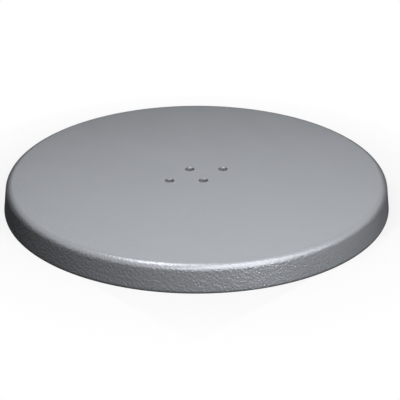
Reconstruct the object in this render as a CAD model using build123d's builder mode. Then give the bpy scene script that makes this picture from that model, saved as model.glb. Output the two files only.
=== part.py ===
from build123d import *
import os
from math import radians, sin, tan

# A round cast iron base for a pedestal: a low disc with a leaning side wall, hollow
# underneath, where a hub and radial ribs stiffen the plate. Four holes at its centre
# take screws from below. The origin is on the floor, at the centre of the foot ring,
# with +Z up. The wider pair of holes lies along X, and the narrower pair along Y.

# Driving dimensions, in millimetres and degrees.

# The outside
foot_diameter = 450.0  # across the foot, to its outer corner before the chamfer
overall_height = 32.0  # from the floor to the top face
wall_draft = 7.0  # lean of the side wall, which lets the casting leave its mould
top_edge_radius = 8.5  # between the top face and the side wall
foot_edge_chamfer = 1.0  # round the outside of the foot

# The shell
top_thickness = 8.0  # the plate between two ribs
foot_ring_width = 9.0  # the ring that stands on the floor

# The pockets under the plate, and the ribs that are left between them
rib_count = 8
rib_thickness = 6.0  # at the free lower edge
rib_depth = 10.0  # from the plate's underside to the free edge
pocket_draft = 7.0  # lean of the rib flanks, the hub and the inside of the skirt
pocket_corner_radius = 8.0  # where a rib runs into the hub or the skirt
pocket_floor_radius = 5.0  # where the plate meets a rib, the hub or the skirt

# The screw holes
long_pair_spacing = 70.0
short_pair_spacing = 35.0
hole_diameter = 9.0  # clearance for an M8 screw
hole_chamfer = 1.0  # at the top face
hole_chamfer_angle = 90.0  # from side to side of that chamfer's cone
spot_face_diameter = 20.0  # seat for a screw head and its washer
spot_face_depth = 1.0

# The hub, whose face is level with the free edges of the ribs
hub_edge_width = 11.0  # iron outside the outer spot faces

# Heights above the floor
plate_underside = overall_height - top_thickness
rib_edge_height = plate_underside - rib_depth

# Radii about the axis
foot_radius = foot_diameter / 2
top_corner_radius = foot_radius - overall_height * tan(radians(wall_draft))
mouth_radius = foot_radius - foot_ring_width
skirt_radius = mouth_radius - rib_edge_height * tan(radians(pocket_draft))
hub_radius = (long_pair_spacing + spot_face_diameter) / 2 + hub_edge_width

# Half the angle from one rib to the next
half_pitch = 360 / rib_count / 2

# Centres of the screw holes
screw_centres = [
    (long_pair_spacing / 2, 0),
    (-long_pair_spacing / 2, 0),
    (0, short_pair_spacing / 2),
    (0, -short_pair_spacing / 2),
]


# One pocket between two ribs. Its outline is the ring between the hub and the skirt,
# cut by two rib flanks that run past the skirt.
with BuildPart() as pocket:
    with BuildSketch(Plane.XY.offset(rib_edge_height)):
        Circle(skirt_radius)
        Circle(hub_radius, mode=Mode.SUBTRACT)
        with BuildLine():
            flanks_meet = (rib_thickness / 2 / sin(radians(half_pitch)), 0)
            lower_flank = PolarLine(flanks_meet, foot_diameter, -half_pitch)
            upper_flank = PolarLine(flanks_meet, foot_diameter, half_pitch)
            Line(lower_flank @ 1, upper_flank @ 1)
        make_face(mode=Mode.INTERSECT)
        fillet(vertices(), radius=pocket_corner_radius)
    extrude(amount=rib_depth, taper=pocket_draft)
    fillet(faces().sort_by(Axis.Z)[-1].edges(), radius=pocket_floor_radius)


with BuildPart() as base_casting:
    # Half section of the disc, with its hub, ribs and plate still one slab
    with BuildSketch(Plane.XZ):
        with BuildLine():
            Polyline(
                (0, rib_edge_height),
                (0, overall_height),
                (top_corner_radius, overall_height),
                (foot_radius, 0),
                (mouth_radius, 0),
                (skirt_radius, rib_edge_height),
                close=True,
            )
        make_face()
        top_corner = vertices().sort_by_distance((top_corner_radius, overall_height))[0]
        fillet(top_corner, radius=top_edge_radius)
        foot_corner = vertices().sort_by_distance((foot_radius, 0))[0]
        chamfer(foot_corner, length=foot_edge_chamfer)
    revolve(axis=Axis.Z)

    # The pockets, which leave the hub and the ribs standing
    with PolarLocations(0, rib_count):
        add(pocket.part, mode=Mode.SUBTRACT)

    # Spot faces for the screw heads, in the hub's face
    with BuildSketch(Plane.XY.offset(rib_edge_height)):
        with Locations(*screw_centres):
            Circle(spot_face_diameter / 2)
    extrude(amount=spot_face_depth, mode=Mode.SUBTRACT)

    # Screw holes right through, each with a small chamfer at the top face
    with Locations(Plane.XY.offset(overall_height)):
        with Locations(*screw_centres):
            CounterSinkHole(
                radius=hole_diameter / 2,
                counter_sink_radius=hole_diameter / 2 + hole_chamfer,
                counter_sink_angle=hole_chamfer_angle,
            )

base_casting.part.label = "base_casting"
os.makedirs("parts", exist_ok=True)
export_step(base_casting.part, "parts/base_casting.step")
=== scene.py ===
import math
import bmesh
import bpy
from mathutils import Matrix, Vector


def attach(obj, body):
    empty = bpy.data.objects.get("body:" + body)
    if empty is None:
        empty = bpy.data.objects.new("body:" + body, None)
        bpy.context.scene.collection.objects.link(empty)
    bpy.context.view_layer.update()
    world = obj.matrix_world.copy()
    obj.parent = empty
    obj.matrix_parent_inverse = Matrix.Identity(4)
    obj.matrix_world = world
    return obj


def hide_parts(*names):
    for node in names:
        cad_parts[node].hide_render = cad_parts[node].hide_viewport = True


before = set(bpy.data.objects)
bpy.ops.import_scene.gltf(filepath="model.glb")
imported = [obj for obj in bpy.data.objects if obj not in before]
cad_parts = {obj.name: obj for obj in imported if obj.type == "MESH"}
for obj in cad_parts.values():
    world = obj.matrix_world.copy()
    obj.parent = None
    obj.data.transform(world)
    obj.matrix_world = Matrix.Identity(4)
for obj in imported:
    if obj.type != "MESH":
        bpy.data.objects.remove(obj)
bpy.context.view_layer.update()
mm = 0.001

# The casting, in millimetres and degrees. It keeps the form of the fixed model and adds what
# a finished casting has: a soft round on every edge, and smooth shading.
casting = {
    "footRadius": 225.0,  # to the outer corner of the foot, before its round
    "height": 32.0,
    "lean": 7.0,  # of the side wall and of the pocket walls
    "topRound": 8.5,
    "footRing": 9.0,
    "footRound": 1.0,
    "footInnerRound": 0.8,
    "plate": 8.0,
    "ribs": 8,
    "ribThickness": 6.0,
    "ribDepth": 10.0,
    "ribRound": 1.5,  # on the free edges of the ribs and the hub
    "pocketCorner": 8.0,
    "pocketFloor": 5.0,  # round between the plate and what stands on it
    "hubRadius": 56.0,
    "longPair": 70.0,
    "shortPair": 35.0,
    "hole": 9.0,
    "holeChamfer": 1.0,
    "holeEdgeRound": 0.3,
    "spotFace": 20.0,
    "spotDepth": 1.0,
    "holeRim": 1.5,  # flat faces round each hole, above and below
    "topRings": (60, 90, 130, 170, 200),  # radii of the rings of faces on the top
    "wallRings": (20, 14, 8, 3),  # heights of those on the side wall
    "skirtRing": 7.0,  # and of the one inside the skirt
    "rootSteps": 6,  # faces across the root of a rib
    "pocketSteps": 40,  # faces along the outside of a pocket
    "cornerSteps": 8,  # faces round one of its corners
    "flankSteps": 12,  # faces along a rib
    "hubSteps": 12,  # faces along its side at the hub
    "holeSteps": 48,
    "weld": 0.002,  # points nearer to each other than this are joined
    "sharpAngle": 40.0,  # edges that turn by more than this are shaded sharp
}


def roundedPath(corners, stepAngle=9.0):
    # A section line through the corners, each given as (x, z, radius), with its rounds drawn in
    points = []
    for place, (x, z, radius) in enumerate(corners):
        corner = Vector((x, z))
        if radius == 0 or place in (0, len(corners) - 1):
            points.append(corner)
            continue
        back = (Vector(corners[place - 1][:2]) - corner).normalized()
        ahead = (Vector(corners[place + 1][:2]) - corner).normalized()
        opening = back.angle(ahead)
        turn = math.pi - opening
        centre = corner + (back + ahead).normalized() * radius / math.sin(opening / 2)
        start = corner + back * radius / math.tan(opening / 2) - centre
        side = 1 if back.x * ahead.y - back.y * ahead.x < 0 else -1
        steps = max(3, round(math.degrees(turn) / stepAngle))
        for step in range(steps + 1):
            angle = side * turn * step / steps
            c, s = math.cos(angle), math.sin(angle)
            points.append(centre + Vector((c * start.x - s * start.y, s * start.x + c * start.y)))
    return points


def addSkin(mesh, loops):
    # Faces between each closed loop of points and the next
    rows = [[mesh.verts.new(Vector(point) * mm) for point in loop] for loop in loops]
    for row, nextRow in zip(rows, rows[1:]):
        for i in range(len(row)):
            j = (i + 1) % len(row)
            mesh.faces.new((row[i], row[j], nextRow[j], nextRow[i]))


def ribRootAngle(radius, bend):
    # Half the angle that a rib takes up at this radius, with the round at its root
    reach = casting["ribThickness"] / 2 + casting["pocketCorner"]
    return math.degrees(math.asin(reach / (radius + bend * casting["pocketCorner"])))


def makeCasting():
    c = casting
    lean = math.tan(math.radians(c["lean"]))
    plateUnder = c["height"] - c["plate"]
    ribEdge = plateUnder - c["ribDepth"]
    mouth = c["footRadius"] - c["footRing"]
    skirt = mouth - ribEdge * lean
    topCorner = c["footRadius"] - c["height"] * lean
    pitch = 360 / c["ribs"]
    outerRoot = ribRootAngle(skirt, -1)
    innerRoot = ribRootAngle(c["hubRadius"], 1)
    mesh = bmesh.new()

    # The outside, from the flat top over the round and the side wall to the inside of the skirt
    section = [(x, c["height"], 0) for x in c["topRings"]]
    section += [(topCorner, c["height"], c["topRound"])]
    section += [(c["footRadius"] - z * lean, z, 0) for z in c["wallRings"]]
    section += [(c["footRadius"], 0, c["footRound"]), (mouth, 0, c["footInnerRound"])]
    section += [(mouth - c["skirtRing"] * lean, c["skirtRing"], 0), (skirt, ribEdge, 0)]
    angles = []
    for rib in range(c["ribs"]):
        start = pitch * (rib + 0.5) - outerRoot
        spans = ((2 * outerRoot, c["rootSteps"]), (pitch - 2 * outerRoot, c["pocketSteps"]))
        for span, steps in spans:
            angles += [start + span * step / steps for step in range(steps)]
            start += span
    turns = [(math.cos(math.radians(a)), math.sin(math.radians(a))) for a in angles]
    addSkin(mesh, [[(x * u, x * v, z) for u, v in turns] for x, z in roundedPath(section)])

    # The pockets. Each section point goes round the pocket's outline, moved in by its x.
    wall = roundedPath([
        (-c["ribThickness"] / 2, ribEdge, 0),
        (0, ribEdge, c["ribRound"]),
        (c["ribDepth"] * lean, plateUnder, c["pocketFloor"]),
        (c["pocketCorner"], plateUnder, 0),
    ])[1:-1]
    wallFoot = next(i for i, point in enumerate(wall) if point.x > 0) + 1

    def corner(radius, bend, root, side, share, inset):
        # A point on one of the pocket's corner rounds. Its share goes from 0 at the arc to 1 at
        # the rib.
        middle = radius + bend * c["pocketCorner"]
        angle = side * math.radians(pitch / 2 - root)
        centre = Vector((middle * math.cos(angle), middle * math.sin(angle)))
        fromArc = angle if bend < 0 else angle + math.pi
        toRib = side * (math.radians(pitch) / 2 + math.pi / 2)
        turn = (toRib - fromArc + math.pi) % (2 * math.pi) - math.pi
        heading = fromArc + turn * share
        reach = c["pocketCorner"] - inset
        return centre + Vector((math.cos(heading), math.sin(heading))) * reach

    def outline(place, point, spin):
        # One loop round the pocket. The rib's edge round fades out where the rib meets the skirt.
        loop = []

        def put(at, edge=1.0):
            x, z = point
            if place < wallFoot:
                x, z = x * edge, ribEdge + (z - ribEdge) * edge
            xy = at(x)
            loop.append((xy.x * spin[0] - xy.y * spin[1], xy.x * spin[1] + xy.y * spin[0], z))

        def arc(radius, bend, root, side, shares):
            for share in shares:
                angle = math.radians(pitch / 2 - root) * share * side
                put(lambda x, a=angle: Vector((math.cos(a), math.sin(a))) * (radius + bend * x),
                    0.0 if bend < 0 else 1.0)

        def bendAt(radius, bend, root, side, shares):
            for share in shares:
                put(lambda x, s=share: corner(radius, bend, root, side, s, x),
                    share * share * (3 - 2 * share) if bend < 0 else 1.0)

        def flank(side, shares):
            for share in shares:
                def at(x, s=share):
                    outer = corner(skirt, -1, outerRoot, side, 1, x)
                    return outer.lerp(corner(c["hubRadius"], 1, innerRoot, side, 1, x), s)
                put(at)

        steps, hubSteps = c["pocketSteps"], c["hubSteps"]
        cornerShares = [i / c["cornerSteps"] for i in range(c["cornerSteps"] + 1)]
        along = [i / c["flankSteps"] for i in range(1, c["flankSteps"])]
        arc(skirt, -1, outerRoot, 1, [2 * i / steps - 1 for i in range(steps)])
        bendAt(skirt, -1, outerRoot, 1, cornerShares)
        flank(1, along)
        bendAt(c["hubRadius"], 1, innerRoot, 1, cornerShares[::-1])
        arc(c["hubRadius"], 1, innerRoot, 1, [1 - 2 * i / hubSteps for i in range(1, hubSteps)])
        bendAt(c["hubRadius"], 1, innerRoot, -1, cornerShares)
        flank(-1, along[::-1])
        bendAt(skirt, -1, outerRoot, -1, cornerShares[:0:-1])
        return loop

    for pocket in range(c["ribs"]):
        turn = math.radians(pitch * pocket)
        spin = (math.cos(turn), math.sin(turn))
        addSkin(mesh, [outline(place, point, spin) for place, point in enumerate(wall)])

    # The screw holes, from the chamfer at the top face down to the spot face in the hub
    bore = c["hole"] / 2
    spot = c["spotFace"] / 2
    seat = ribEdge + c["spotDepth"]
    edge = c["holeEdgeRound"]
    holeSection = roundedPath([
        (bore + c["holeChamfer"] + c["holeRim"], c["height"], 0),
        (bore + c["holeChamfer"], c["height"], edge),
        (bore, c["height"] - c["holeChamfer"], edge),
        (bore, seat, edge),
        (spot, seat, edge),
        (spot, ribEdge, edge),
        (spot + c["holeRim"], ribEdge, 0),
    ])
    halfLong, halfShort = c["longPair"] / 2, c["shortPair"] / 2
    holes = ((halfLong, 0), (-halfLong, 0), (0, halfShort), (0, -halfShort))
    ways = [2 * math.pi * step / c["holeSteps"] for step in range(c["holeSteps"])]
    for x, y in holes:
        addSkin(mesh, [[(x + r * math.cos(w), y + r * math.sin(w), z) for w in ways]
                       for r, z in holeSection])

    # The flats that close it: the middle of the top, the pocket floors, and the hub with its ribs
    bmesh.ops.remove_doubles(mesh, verts=mesh.verts, dist=c["weld"] * mm)
    for level in (c["height"], plateUnder, ribEdge):
        rim = [e for e in mesh.edges if e.is_boundary
               and all(abs(v.co.z / mm - level) < c["weld"] for v in e.verts)]
        bmesh.ops.triangle_fill(mesh, edges=rim, use_beauty=True)
    bmesh.ops.recalc_face_normals(mesh, faces=mesh.faces)

    def onCountersink(vert):
        at = vert.co / mm
        fromHole = min(math.dist(at[:2], hole) for hole in holes)
        reach = c["holeChamfer"] + edge
        return fromHole < bore + reach and at.z > c["height"] - reach

    for face in mesh.faces:
        face.smooth = True
        if all(onCountersink(vert) for vert in face.verts):
            face.material_index = 1
    openEdges = sum(not e.is_manifold for e in mesh.edges)
    volume = mesh.calc_volume() / mm ** 3
    data = bpy.data.meshes.new("castIronBase")
    mesh.to_mesh(data)
    mesh.free()
    data.set_sharp_from_angle(angle=math.radians(c["sharpAngle"]))
    piece = bpy.data.objects.new("castIronBase", data)
    bpy.context.scene.collection.objects.link(piece)
    flats = piece.modifiers.new("flatsStayFlat", "WEIGHTED_NORMAL")
    flats.keep_sharp = True
    data.calc_loop_triangles()
    triangles = len(data.loop_triangles)
    print(f"casting: {triangles} triangles, {openEdges} open edges, {volume:.0f} mm3")
    return piece


def linearColour(code):
    # sRGB hex to the linear values that a shader takes
    parts = [int(code[i:i + 2], 16) / 255 for i in (1, 3, 5)]
    return [p / 12.92 if p <= 0.04045 else ((p + 0.055) / 1.055) ** 2.4 for p in parts] + [1]


def addNode(tree, kind, settings=None, **links):
    # A node with its settings, and values or links for its inputs by name (spaces as _)
    node = tree.nodes.new(kind)
    for name, value in (settings or {}).items():
        setattr(node, name, value)
    for name, value in links.items():
        socket = node.inputs[int(name[2:]) if name.startswith("in") else name.replace("_", " ")]
        if isinstance(value, bpy.types.NodeSocket):
            tree.links.new(value, socket)
        else:
            socket.default_value = value
    return node


def newMaterial(name):
    material = bpy.data.materials.new(name)
    material.use_nodes = True
    material.node_tree.nodes.clear()
    return material, material.node_tree


# Powder coat on grey iron: a silver-grey structured powder, sprayed on and baked. It gives the
# side wall a fine uneven sparkle and the top a satin sheen. Painted shade darkens its colour in a
# thin line along the foot.
powderCoat = {
    "colour": "#9DA0A5",
    "colourDark": "#96999E",
    "patchesPerMetre": 22,  # clouds in which tone and gloss vary a little
    "structureSize": 2.5,  # mm, about half the way from one bump of the baked powder to the next
    "structureRelief": 0.55,  # mm over the noise's whole range, of which it uses about a third
    "grainSize": 1.0,  # mm
    "grainRelief": 0.03,  # mm
    "topRelief": 0.25,  # share of that relief on the top face, where the powder flows out flat
    "fadeFrom": 0.2,  # how far up a face looks, of 1, where the relief starts to fall off to that
    "metallic": 0.4,  # for its aluminium flakes
    "roughness": 0.34,
    "roughnessSpread": 0.04,  # each way, from patch to patch
    "specular": 0.1,
    "footLine": 3.6,  # mm, how far up the foot its colour is darkened as painted shade
    "footShadeFade": 0.4,  # share of that height where it starts to fade out
    "footShadeTone": 0.37,  # share of its colour that this painted shade leaves there
}


def makePowderCoat():
    p = powderCoat
    material, tree = newMaterial("structuredPowderCoatOnIron")
    place = addNode(tree, "ShaderNodeTexCoord").outputs["Object"]
    structure = addNode(tree, "ShaderNodeTexNoise", {}, Vector=place,
                        Scale=1 / (p["structureSize"] * mm), Detail=0.5, Roughness=0.5,
                        Distortion=0.3)
    grain = addNode(tree, "ShaderNodeTexNoise", {}, Vector=place,
                    Scale=1 / (p["grainSize"] * mm), Detail=1.0, Roughness=0.5)
    patches = addNode(tree, "ShaderNodeTexNoise", {}, Vector=place, Scale=p["patchesPerMetre"],
                      Detail=3.0, Roughness=0.55)
    facing = addNode(tree, "ShaderNodeTexCoord").outputs["Normal"]
    upward = addNode(tree, "ShaderNodeSeparateXYZ", {}, Vector=facing).outputs["Z"]
    share = addNode(tree, "ShaderNodeMapRange", {}, Value=upward, From_Min=p["fadeFrom"],
                    From_Max=1.0, To_Min=1.0, To_Max=p["topRelief"]).outputs["Result"]
    relief = addNode(tree, "ShaderNodeMath", {"operation": "MULTIPLY"},
                     in0=structure.outputs["Fac"], in1=p["structureRelief"] * mm)
    relief = addNode(tree, "ShaderNodeMath", {"operation": "MULTIPLY_ADD"},
                     in0=grain.outputs["Fac"], in1=p["grainRelief"] * mm, in2=relief.outputs[0])
    fine = addNode(tree, "ShaderNodeBump", {}, Height=relief.outputs[0], Strength=share,
                   Distance=1.0)
    tone = addNode(tree, "ShaderNodeMix", {"data_type": "RGBA"}, in0=patches.outputs["Fac"],
                   in6=linearColour(p["colourDark"]), in7=linearColour(p["colour"]))
    # Painted shade: the colour is darkened in a thin line up the foot, where the wall meets the
    # floor
    height = addNode(tree, "ShaderNodeSeparateXYZ", {}, Vector=place).outputs["Z"]
    paintedFootShade = addNode(tree, "ShaderNodeMapRange", {}, Value=height,
                    From_Min=p["footShadeFade"] * p["footLine"] * mm, From_Max=p["footLine"] * mm,
                    To_Min=p["footShadeTone"], To_Max=1.0).outputs["Result"]
    tone = addNode(tree, "ShaderNodeVectorMath", {"operation": "SCALE"}, in0=tone.outputs[2],
                   Scale=paintedFootShade)
    spread = p["roughnessSpread"]
    gloss = addNode(tree, "ShaderNodeMapRange", {}, Value=patches.outputs["Fac"],
                    To_Min=p["roughness"] - spread, To_Max=p["roughness"] + spread)
    shader = addNode(tree, "ShaderNodeBsdfPrincipled", {}, Base_Color=tone.outputs[0],
                     Metallic=p["metallic"], Roughness=gloss.outputs["Result"],
                     Specular_IOR_Level=p["specular"], Normal=fine.outputs["Normal"])
    addNode(tree, "ShaderNodeOutputMaterial", {}, Surface=shader.outputs["BSDF"])
    return material


# Bare grey iron on the countersinks of the screw holes, which are cut after the coating. It
# catches the lamps as a small bright spot at the rim of each hole.
drilledIron = {
    "colour": "#7C7E80",
    "colourDark": "#5E6062",
    "stainsPerMetre": 400,
    "feed": 0.5,  # mm from one mark of the drill to the next, drawn coarser than a drill's 0.2
    "markRelief": 0.02,  # mm
    "roughness": 0.38,
    "roughnessSpread": 0.06,
}


def makeDrilledIron():
    p = drilledIron
    material, tree = newMaterial("drilledBareIron")
    place = addNode(tree, "ShaderNodeTexCoord").outputs["Object"]
    # At a scale of 1 a wave texture has 20 / (2 pi) bands to the metre
    marks = addNode(tree, "ShaderNodeTexWave", {"bands_direction": "Z"}, Vector=place,
                    Scale=2 * math.pi / 20 / (p["feed"] * mm), Distortion=1.0, Detail=1.0)
    stain = addNode(tree, "ShaderNodeTexNoise", {}, Vector=place, Scale=p["stainsPerMetre"],
                    Detail=2.0)
    tone = addNode(tree, "ShaderNodeMix", {"data_type": "RGBA"}, in0=stain.outputs["Fac"],
                   in6=linearColour(p["colourDark"]), in7=linearColour(p["colour"]))
    fine = addNode(tree, "ShaderNodeBump", {}, Height=marks.outputs["Fac"], Strength=1.0,
                   Distance=p["markRelief"] * mm)
    spread = p["roughnessSpread"]
    gloss = addNode(tree, "ShaderNodeMapRange", {}, Value=stain.outputs["Fac"],
                    To_Min=p["roughness"] - spread, To_Max=p["roughness"] + spread)
    shader = addNode(tree, "ShaderNodeBsdfPrincipled", {}, Base_Color=tone.outputs[2],
                     Metallic=1.0, Roughness=gloss.outputs["Result"],
                     Normal=fine.outputs["Normal"])
    addNode(tree, "ShaderNodeOutputMaterial", {}, Surface=shader.outputs["BSDF"])
    return material


# The view of the photograph: a long lens from a little above, aimed so that the casting
# stands left of and above the middle of the frame, as it does there.
camera = {
    "azimuth": -27.04,
    "elevation": 25.289,
    "distance": 1.612,
    "lens": 123.56,
    "aimRight": 0.004,
    "aimDown": 0.0153,
}

# Softboxes, in metres and watts. Azimuth is counted from the camera's, to the right. A lamp
# with a height is a flat strip, and the one at the rear lies on the floor.
lamps = {
    "overhead": {"azimuth": -36, "elevation": 66, "distance": 0.8, "size": 0.34, "watts": 2.62},
    "key": {"azimuth": 30, "elevation": 45, "distance": 0.9, "size": 0.6, "watts": 3.66},
    "front": {"azimuth": 0, "elevation": 25, "distance": 0.8, "size": 0.34, "watts": 1.14},
    "low": {"azimuth": 30, "elevation": 12, "distance": 0.8, "size": 0.34, "watts": 1.33},
    "right": {"azimuth": 60, "elevation": 25, "distance": 0.8, "size": 0.34, "watts": 0.7},
    "back": {"azimuth": 180, "elevation": 30, "distance": 1.2, "size": 0.9, "watts": 1.04},
    "rearStrip": {"azimuth": 198, "elevation": 0.3, "distance": 0.8, "size": 0.9,
                  "height": 0.007, "watts": 4.0},
    "below": {"azimuth": -60, "elevation": -50, "distance": 1.0, "size": 0.5, "watts": 5.0},
}

# The floor, and the card round the casting, in metres
room = {
    "white": "#FFFFFF",
    "card": "#0A0A0A",
    "floorRadius": 4.0,
    "window": 0.214,  # the clear part of the floor, all of it under the casting
    "litShare": 0.15,  # of its own light and shade near the casting, which keep the shadow
    "litFrom": 0.23,  # where that share starts to fall off
    "litTo": 0.34,
    "frontAzimuth": 30,  # where the card is lowest and the flag is left out, from the camera's
    "cardGap": 0.0003,  # between the foot and the black card
    "cardLift": 0.0003,  # off the floor
    "cardRadius": 0.9,
    "cardFront": 0.12,  # height of its rim in front
    "cardBack": 0.38,  # and at the back
    "flagRadius": 0.3,
    "flagLow": 0.021,  # its lower edge, under which the rear strip lights the side wall
    "flagHigh": 0.045,
    "flagCut": 0.35,  # it stands only where a direction's cosine to the front is below this
    "ringSteps": 128,
}


def direction(azimuth, elevation):
    a, e = math.radians(azimuth), math.radians(elevation)
    return Vector((math.sin(a) * math.cos(e), -math.cos(a) * math.cos(e), math.sin(e)))


def addCamera():
    c = camera
    middle = Vector((0, 0, casting["height"] / 2 * mm))
    away = direction(c["azimuth"], c["elevation"])
    right = (-away).cross(Vector((0, 0, 1))).normalized()
    up = right.cross(-away)
    data = bpy.data.cameras.new("camera")
    data.lens = c["lens"]
    data.clip_end = 50
    eye = bpy.data.objects.new("camera", data)
    bpy.context.scene.collection.objects.link(eye)
    eye.location = middle + away * c["distance"]
    target = middle + right * c["aimRight"] - up * c["aimDown"]
    eye.rotation_euler = (target - eye.location).to_track_quat("-Z", "Y").to_euler()
    bpy.context.scene.camera = eye


def addLamps():
    for name, lamp in lamps.items():
        data = bpy.data.lights.new(name, "AREA")
        data.shape = "ELLIPSE"
        data.size = lamp["size"]
        data.size_y = lamp.get("height", lamp["size"])
        data.energy = lamp["watts"]
        light = bpy.data.objects.new(name, data)
        bpy.context.scene.collection.objects.link(light)
        away = direction(camera["azimuth"] + lamp["azimuth"], lamp["elevation"])
        light.location = away * lamp["distance"]
        light.rotation_euler = (-away).to_track_quat("-Z", "Y").to_euler()


def addRing(name, rims, material, cut=2):
    # A round part of the studio, with rims given as (radius, height in front, height at the back)
    # from the inside out. One rim alone makes a disc. The part that lies further to the front
    # than the cut, as a cosine, is left out.
    mesh = bmesh.new()
    front = direction(camera["azimuth"] + room["frontAzimuth"], 0)
    steps = room["ringSteps"]
    rows = []
    for radius, low, high in rims:
        row = []
        for step in range(steps):
            turn = 2 * math.pi * step / steps
            way = Vector((math.cos(turn), math.sin(turn), 0))
            height = low + (high - low) * (1 - way.dot(front)) / 2
            row.append(mesh.verts.new(way * radius + Vector((0, 0, height))))
        rows.append(row)
    for inner, outer in zip(rows, rows[1:]):
        for i in range(steps):
            if inner[i].co.xy.normalized().dot(front.xy) < cut:
                mesh.faces.new((inner[i - 1], outer[i - 1], outer[i], inner[i]))
    if len(rows) == 1:
        mesh.faces.new(rows[0])
    data = bpy.data.meshes.new(name)
    mesh.to_mesh(data)
    mesh.free()
    ring = bpy.data.objects.new(name, data)
    bpy.context.scene.collection.objects.link(ring)
    data.materials.append(material)
    return ring


def seenDirectly(tree):
    # 1 for the rays that the camera, a gloss or a clear thing sends out, and 0 for the rest
    path = addNode(tree, "ShaderNodeLightPath")
    seen = path.outputs["Is Camera Ray"]
    for kind in ("Is Glossy Ray", "Is Transmission Ray"):
        seen = addNode(tree, "ShaderNodeMath", {"operation": "MAXIMUM"}, in0=seen,
                       in1=path.outputs[kind]).outputs[0]
    return path, seen


def makeFloor(name, letsLampsThrough):
    r = room
    material, tree = newMaterial(name)
    path, seen = seenDirectly(tree)
    place = addNode(tree, "ShaderNodeTexCoord").outputs["Object"]
    away = addNode(tree, "ShaderNodeVectorMath", {"operation": "LENGTH"}, in0=place)
    white = addNode(tree, "ShaderNodeEmission", {}, Color=linearColour(r["white"]), Strength=1.0)
    lit = addNode(tree, "ShaderNodeBsdfDiffuse", {}, Color=linearColour(r["white"]))
    whiteShare = addNode(tree, "ShaderNodeMapRange", {}, Value=away.outputs["Value"],
                         From_Min=r["litFrom"], From_Max=r["litTo"],
                         To_Min=1 - r["litShare"], To_Max=1.0)
    whiteShare = addNode(tree, "ShaderNodeMath", {"operation": "MULTIPLY"}, in0=seen,
                         in1=whiteShare.outputs["Result"])
    pale = addNode(tree, "ShaderNodeMixShader", {}, in0=whiteShare.outputs[0],
                   in1=lit.outputs[0], in2=white.outputs[0])
    # From below it is clear, so that the ribs can be looked at. Only the part under the casting
    # also lets the lamps through, so that they reach the ribs and nothing above the floor.
    clear = addNode(tree, "ShaderNodeBsdfTransparent")
    under = addNode(tree, "ShaderNodeNewGeometry").outputs["Backfacing"]
    if letsLampsThrough:
        under = addNode(tree, "ShaderNodeMath", {"operation": "MAXIMUM"}, in0=under,
                        in1=path.outputs["Is Shadow Ray"]).outputs[0]
    else:
        unlit = addNode(tree, "ShaderNodeMath", {"operation": "SUBTRACT"}, in0=1.0,
                        in1=path.outputs["Is Shadow Ray"])
        under = addNode(tree, "ShaderNodeMath", {"operation": "MULTIPLY"}, in0=under,
                        in1=unlit.outputs[0]).outputs[0]
    mixed = addNode(tree, "ShaderNodeMixShader", {}, in0=under, in1=pale.outputs[0],
                    in2=clear.outputs[0])
    addNode(tree, "ShaderNodeOutputMaterial", {}, Surface=mixed.outputs[0])
    return material


def addRoom():
    r = room
    floorRims = [(r["window"], 0, 0), (r["floorRadius"], 0, 0)]
    addRing("floor", floorRims, makeFloor("palePaintedFloor", False))
    addRing("floorWindow", floorRims[:1], makeFloor("clearUnderTheCasting", True))

    # Black card round the casting, on the floor and up to a rim that is higher at the back. The
    # camera doesn't see it. It keeps white out of the gloss of the side wall and of the far half
    # of the top, so that the wall goes dark at its left end and the top falls off.
    material, tree = newMaterial("blackVelvetCard")
    black = addNode(tree, "ShaderNodeBsdfDiffuse", {}, Color=linearColour(r["card"]))
    addNode(tree, "ShaderNodeOutputMaterial", {}, Surface=black.outputs[0])
    lift = r["cardLift"]
    rims = [(casting["footRadius"] * mm + r["cardGap"], lift, lift),
            (r["cardRadius"], lift, lift),
            (r["cardRadius"], r["cardFront"], r["cardBack"])]
    card = addRing("blackCard", rims, material)
    card.visible_camera = False
    card.visible_shadow = False
    # A flag of the same card behind the casting keeps the rear strip's light on the side wall,
    # off the rounded edge and the top, whose far outline stays dark.
    low, high = r["flagLow"], r["flagHigh"]
    rims = [(r["flagRadius"], low, low), (r["flagRadius"], high, high)]
    flag = addRing("flag", rims, material, r["flagCut"])
    flag.visible_camera = False

    world = bpy.data.worlds.new("room")
    world.use_nodes = True
    tree = world.node_tree
    tree.nodes.clear()
    light = addNode(tree, "ShaderNodeBackground", {}, Color=linearColour(r["white"]),
                    Strength=seenDirectly(tree)[1])
    addNode(tree, "ShaderNodeOutputWorld", {}, Surface=light.outputs[0])
    bpy.context.scene.world = world


piece = makeCasting()
piece.data.materials.append(makePowderCoat())
piece.data.materials.append(makeDrilledIron())
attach(piece, "root")
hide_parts("base_casting")
print("casting and its powder coat are ready")
addCamera()
addLamps()
addRoom()
bpy.context.scene.view_settings.view_transform = "Standard"
print("camera, lamps and floor are ready")
